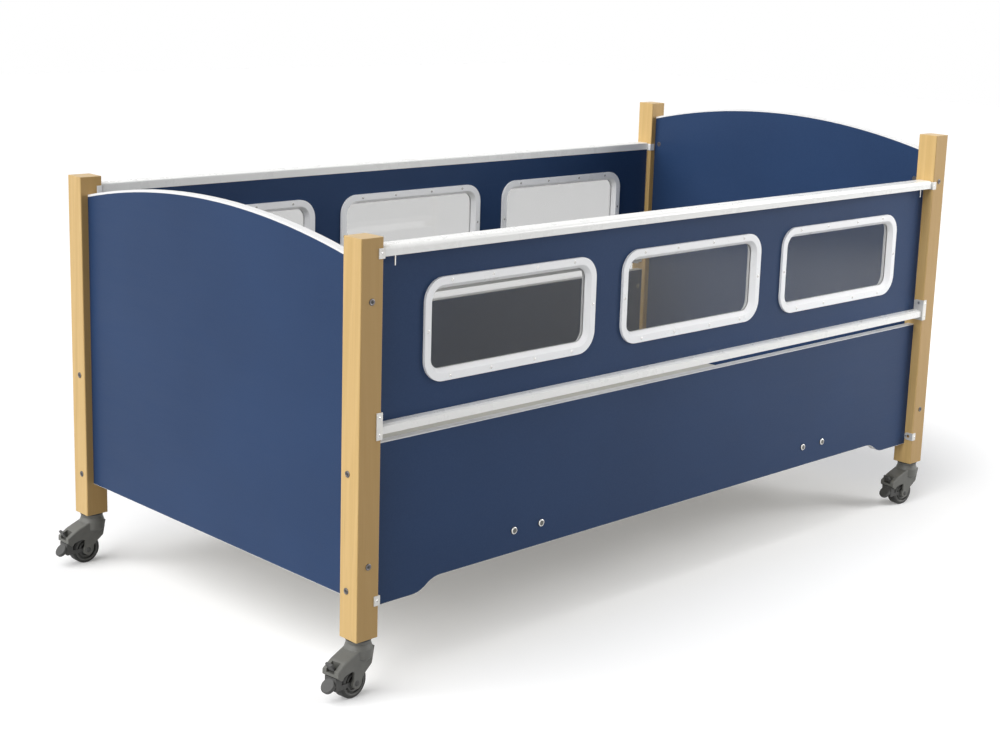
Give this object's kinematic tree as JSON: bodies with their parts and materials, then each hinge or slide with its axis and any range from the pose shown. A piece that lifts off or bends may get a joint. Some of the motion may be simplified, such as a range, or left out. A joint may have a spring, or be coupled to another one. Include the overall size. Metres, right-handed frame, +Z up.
{
  "type": "pediatric hospital cot",
  "caption": "Hospital cot with beech corner posts on braked castors, arched end boards, fixed lower sides and windowed fold-down gates held by spring bolts.",
  "frame": {"origin": "on the floor, midway along and across the overall box of the cot, castors included", "axes": "+X from the foot end to the taller head end, +Z up, front side towards -Y"},
  "size_m": [2.039, 1.0504, 1.0264],
  "materials": {
    "beech": "clear-lacquered beech, satin",
    "navy_laminate": "melamine-faced board, fine satin texture",
    "white_edging": "white edge band",
    "rail_white": "white extruded rail, satin gloss",
    "ring_white": "white moulded window ring",
    "clear_acrylic": "clear acrylic sheet",
    "nickel_screws": "nickel-plated screws and caps",
    "zinc_plate": "zinc-plated folded sheet",
    "dark_steel": "dark burnished steel",
    "birch": "birch plywood, matt",
    "deck_laminate": "cream-grey laminated plywood, matt",
    "castor_grey": "grey moulded nylon",
    "castor_hub": "grey moulded nylon",
    "castor_tread": "dark grey rubber tread",
    "castor_pedal": "dark moulded nylon"
  },
  "bodies": {
    "frame": {"barrel_nuts": "dark_steel", "base_angle_bolts": "nickel_screws", "base_angles": "zinc_plate", "base_battens": "birch", "base_boards": "deck_laminate", "base_rails": "birch", "castor_sockets": "castor_grey", "foot_board": "navy_laminate", "foot_board_edging": "white_edging", "frame_bolts": "dark_steel", "gate_keepers": "zinc_plate", "head_board": "navy_laminate", "head_board_edging": "white_edging", "hinge_brackets": "zinc_plate", "plate_screws": "nickel_screws", "post_foot_back": "beech", "post_foot_front": "beech", "post_head_back": "beech", "post_head_front": "beech", "side_panel_back": "navy_laminate", "side_panel_edgings": "white_edging", "side_panel_front": "navy_laminate"},
    "gate_front": {"gate_front_bottom_rail": "rail_white", "gate_front_latch_springs": "dark_steel", "gate_front_panel": "navy_laminate", "gate_front_pivot_pins": "dark_steel", "gate_front_top_rail": "rail_white", "gate_front_window_panes": "clear_acrylic", "gate_front_window_rings_inner": "ring_white", "gate_front_window_rings_outer": "ring_white", "gate_front_window_screws": "nickel_screws"},
    "latch_front_foot": {"latch_bolt_front_foot": "nickel_screws"},
    "latch_front_head": {"latch_bolt_front_head": "nickel_screws"},
    "gate_back": {"gate_back_bottom_rail": "rail_white", "gate_back_latch_springs": "dark_steel", "gate_back_panel": "navy_laminate", "gate_back_pivot_pins": "dark_steel", "gate_back_top_rail": "rail_white", "gate_back_window_panes": "clear_acrylic", "gate_back_window_rings_inner": "ring_white", "gate_back_window_rings_outer": "ring_white", "gate_back_window_screws": "nickel_screws"},
    "latch_back_foot": {"latch_bolt_back_foot": "nickel_screws"},
    "latch_back_head": {"latch_bolt_back_head": "nickel_screws"},
    "castor_front_foot": {"castor_front_foot_housing": "castor_grey"},
    "wheel_front_foot": {"castor_front_foot_hub": "castor_hub", "castor_front_foot_tyre": "castor_tread"},
    "brake_front_foot": {"castor_front_foot_pedal": "castor_pedal"},
    "castor_front_head": {"castor_front_head_housing": "castor_grey"},
    "wheel_front_head": {"castor_front_head_hub": "castor_hub", "castor_front_head_tyre": "castor_tread"},
    "brake_front_head": {"castor_front_head_pedal": "castor_pedal"},
    "castor_back_foot": {"castor_back_foot_housing": "castor_grey"},
    "wheel_back_foot": {"castor_back_foot_hub": "castor_hub", "castor_back_foot_tyre": "castor_tread"},
    "brake_back_foot": {"castor_back_foot_pedal": "castor_pedal"},
    "castor_back_head": {"castor_back_head_housing": "castor_grey"},
    "wheel_back_head": {"castor_back_head_hub": "castor_hub", "castor_back_head_tyre": "castor_tread"},
    "brake_back_head": {"castor_back_head_pedal": "castor_pedal"}
  },
  "joints": [
    {"name": "gate_front_fold", "type": "hinge", "parent": "frame", "child": "gate_front", "pos_m": [0.03205, -0.51, 0.537], "axis": [1, 0, 0], "range_deg": [0, 180]},
    {"name": "gate_back_fold", "type": "hinge", "parent": "frame", "child": "gate_back", "pos_m": [0.03205, 0.51, 0.537], "axis": [-1, 0, 0], "range_deg": [0, 180]},
    {"name": "latch_front_foot_slide", "type": "slide", "parent": "gate_front", "child": "latch_front_foot", "axis": [-1, 0, 0], "range_m": [0, 0.012]},
    {"name": "latch_front_head_slide", "type": "slide", "parent": "gate_front", "child": "latch_front_head", "axis": [1, 0, 0], "range_m": [0, 0.012]},
    {"name": "latch_back_foot_slide", "type": "slide", "parent": "gate_back", "child": "latch_back_foot", "axis": [-1, 0, 0], "range_m": [0, 0.012]},
    {"name": "latch_back_head_slide", "type": "slide", "parent": "gate_back", "child": "latch_back_head", "axis": [1, 0, 0], "range_m": [0, 0.012]},
    {"name": "castor_front_foot_swivel", "type": "hinge", "parent": "frame", "child": "castor_front_foot", "pos_m": [-0.92695, -0.4955, 0.1185], "axis": [0, 0, 1], "continuous": true},
    {"name": "wheel_front_foot_spin", "type": "hinge", "parent": "castor_front_foot", "child": "wheel_front_foot", "pos_m": [-0.94983, -0.4979, 0.034], "axis": [-0.1045, 0.9945, 0], "continuous": true},
    {"name": "brake_front_foot_press", "type": "hinge", "parent": "castor_front_foot", "child": "brake_front_foot", "pos_m": [-0.94983, -0.4979, 0.034], "axis": [0.1045, -0.9945, 0], "range_deg": [0, 12]},
    {"name": "castor_front_head_swivel", "type": "hinge", "parent": "frame", "child": "castor_front_head", "pos_m": [0.99105, -0.4955, 0.1185], "axis": [0, 0, 1], "continuous": true},
    {"name": "wheel_front_head_spin", "type": "hinge", "parent": "castor_front_head", "child": "wheel_front_head", "pos_m": [0.96827, -0.4923, 0.034], "axis": [0.1392, 0.9903, 0], "continuous": true},
    {"name": "brake_front_head_press", "type": "hinge", "parent": "castor_front_head", "child": "brake_front_head", "pos_m": [0.96827, -0.4923, 0.034], "axis": [-0.1392, -0.9903, 0], "range_deg": [0, 12]},
    {"name": "castor_back_foot_swivel", "type": "hinge", "parent": "frame", "child": "castor_back_foot", "pos_m": [-0.92695, 0.4955, 0.1185], "axis": [0, 0, 1], "continuous": true},
    {"name": "wheel_back_foot_spin", "type": "hinge", "parent": "castor_back_foot", "child": "wheel_back_foot", "pos_m": [-0.94995, 0.4955, 0.034], "axis": [0, 1, 0], "continuous": true},
    {"name": "brake_back_foot_press", "type": "hinge", "parent": "castor_back_foot", "child": "brake_back_foot", "pos_m": [-0.94995, 0.4955, 0.034], "axis": [0, -1, 0], "range_deg": [0, 12]},
    {"name": "castor_back_head_swivel", "type": "hinge", "parent": "frame", "child": "castor_back_head", "pos_m": [0.99105, 0.4955, 0.1185], "axis": [0, 0, 1], "continuous": true},
    {"name": "wheel_back_head_spin", "type": "hinge", "parent": "castor_back_head", "child": "wheel_back_head", "pos_m": [0.96817, 0.4979, 0.034], "axis": [0.1045, 0.9945, 0], "continuous": true},
    {"name": "brake_back_head_press", "type": "hinge", "parent": "castor_back_head", "child": "brake_back_head", "pos_m": [0.96817, 0.4979, 0.034], "axis": [-0.1045, -0.9945, 0], "range_deg": [0, 12]}
  ]
}
